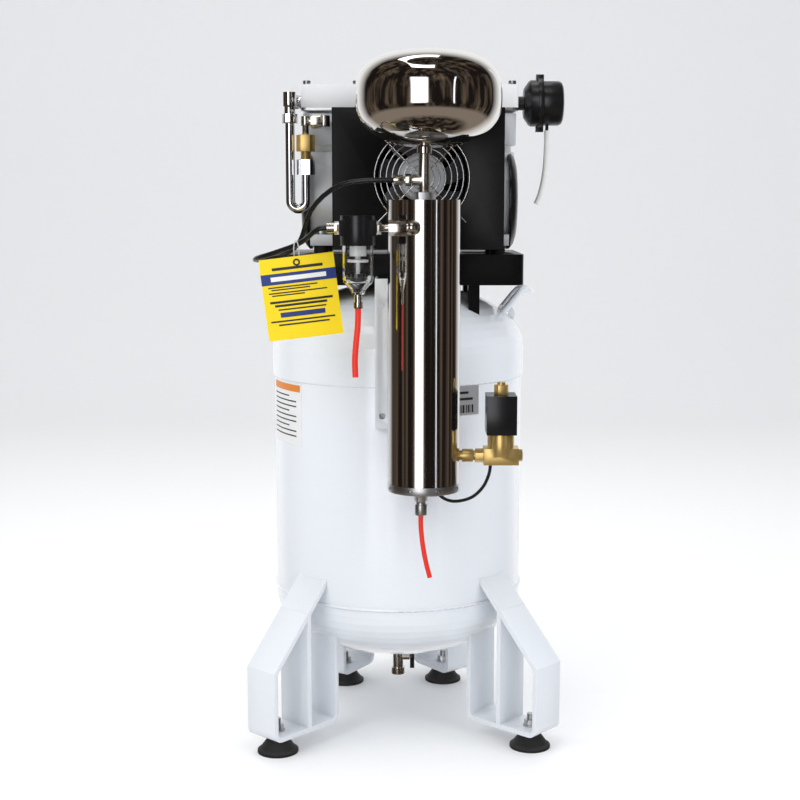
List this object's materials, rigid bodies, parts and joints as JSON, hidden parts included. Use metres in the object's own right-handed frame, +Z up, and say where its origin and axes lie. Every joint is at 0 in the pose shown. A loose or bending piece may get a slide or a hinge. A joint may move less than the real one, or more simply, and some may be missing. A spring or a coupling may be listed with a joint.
{
  "type": "air_compressor",
  "caption": "Upright oil-free twin-cylinder air compressor on a vertical receiver, with a desiccant dryer column, purge tank, filter and rear outlet controls",
  "frame": {"origin": "on the floor under the middle of the outline", "axes": "+Z up, -Y front, the side with the dryer column; +X to the right seen from the front"},
  "size_m": [0.4059, 0.5955, 0.867],
  "materials": {
    "tank_white": "gloss",
    "pump_grey": "satin",
    "black_paint": "satin",
    "black_plastic": "matte",
    "rubber": "matte",
    "steel": "satin",
    "nickel": "satin",
    "chrome": "polished",
    "polished_steel": "polished",
    "aluminium": "satin",
    "brass": "satin",
    "clear_plastic": "clear",
    "white_plastic": "matte",
    "milky_tube": "satin",
    "red_plastic": "gloss",
    "stator_iron": "satin",
    "grey_plastic": "matte",
    "tag_card": "matte",
    "black_hose": "satin"
  },
  "bodies": {
    "frame": {"tank": "tank_white", "drain_valve": "nickel", "tank_handle": "tank_white", "tank_brackets": "tank_white", "legs": "tank_white", "rubber_feet": "rubber", "foot_studs": "steel", "fasteners": "steel", "deck_tray": "black_paint", "crankcases": "pump_grey", "crank_covers": "black_plastic", "cylinders": "pump_grey", "valve_plates": "aluminium", "heads": "pump_grey", "pistons": "aluminium", "motor_shell": "black_paint", "motor_stator": "stator_iron", "shaft_bearings": "steel", "fan_shroud": "black_paint", "fan_frame": "black_plastic", "fan_guard": "chrome", "intake_filter": "black_plastic", "intake_cap": "black_plastic", "intake_tube": "milky_tube", "discharge_pipe": "aluminium", "discharge_valve": "brass", "dryer_column": "polished_steel", "column_caps": "aluminium", "desiccant": "white_plastic", "purge_tee": "nickel", "purge_tank": "polished_steel", "filter_head": "black_plastic", "filter_bowl": "clear_plastic", "filter_element": "white_plastic", "air_fittings": "nickel", "filter_drain_tube": "red_plastic", "column_drain_tube": "red_plastic", "solenoid_valve": "brass", "solenoid_coil": "black_plastic", "solenoid_cable": "rubber", "purge_hose": "black_hose", "discharge_elbow": "chrome", "manifold": "brass", "pressure_switch": "black_plastic", "regulator": "aluminium", "outlet_coupler": "brass", "gauge_cases": "black_plastic", "gauge_faces": "white_plastic", "gauge_lenses": "clear_plastic", "safety_valve": "brass"},
    "drain_knob": {"drain_knob": "black_plastic"},
    "motor_shaft": {"motor_shaft": "steel"},
    "fan_rotor": {"fan_rotor": "grey_plastic"},
    "solenoid_plunger": {"solenoid_plunger": "steel"},
    "filter_float": {"filter_float": "black_plastic"},
    "switch_lever": {"switch_lever": "red_plastic"},
    "regulator_knob": {"regulator_knob": "black_plastic"},
    "coupler_sleeve": {"coupler_sleeve": "steel"},
    "safety_ring": {"safety_ring": "steel"},
    "hang_tag": {"hang_tag": "tag_card"}
  },
  "joints": [
    {"name": "fan_spin", "type": "hinge", "parent": "frame", "child": "fan_rotor", "pos_m": [0.017, -0.096, 0.723], "axis": [0, 1, 0], "continuous": true},
    {"name": "shaft_spin", "type": "hinge", "parent": "frame", "child": "motor_shaft", "pos_m": [0.002, 0.004, 0.695], "axis": [1, 0, 0], "continuous": true},
    {"name": "drain_turn", "type": "hinge", "parent": "frame", "child": "drain_knob", "pos_m": [-0.013, 0.004, 0.07], "axis": [1, 0, 0], "range_deg": [0, 90]},
    {"name": "plunger_lift", "type": "slide", "parent": "frame", "child": "solenoid_plunger", "axis": [0, 0, 1], "range_m": [0, 0.003]},
    {"name": "float_rise", "type": "slide", "parent": "frame", "child": "filter_float", "axis": [0, 0, 1], "range_m": [0, 0.008]},
    {"name": "switch_turn", "type": "hinge", "parent": "frame", "child": "switch_lever", "pos_m": [0.015, 0.214, 0.498], "axis": [1, 0, 0], "range_deg": [0, 40]},
    {"name": "regulator_turn", "type": "hinge", "parent": "frame", "child": "regulator_knob", "pos_m": [-0.013, 0.251, 0.39], "axis": [0, 0, 1], "range_deg": [0, 300]},
    {"name": "coupler_pull", "type": "slide", "parent": "frame", "child": "coupler_sleeve", "axis": [0, 1, 0], "range_m": [-0.002, 0]},
    {"name": "safety_pull", "type": "slide", "parent": "frame", "child": "safety_ring", "axis": [0, 0, 1], "range_m": [0, 0.004]},
    {"name": "tag_swing", "type": "hinge", "parent": "frame", "child": "hang_tag", "pos_m": [-0.131, -0.236, 0.646], "axis": [0, 1, 0], "range_deg": [-8, 8]}
  ]
}
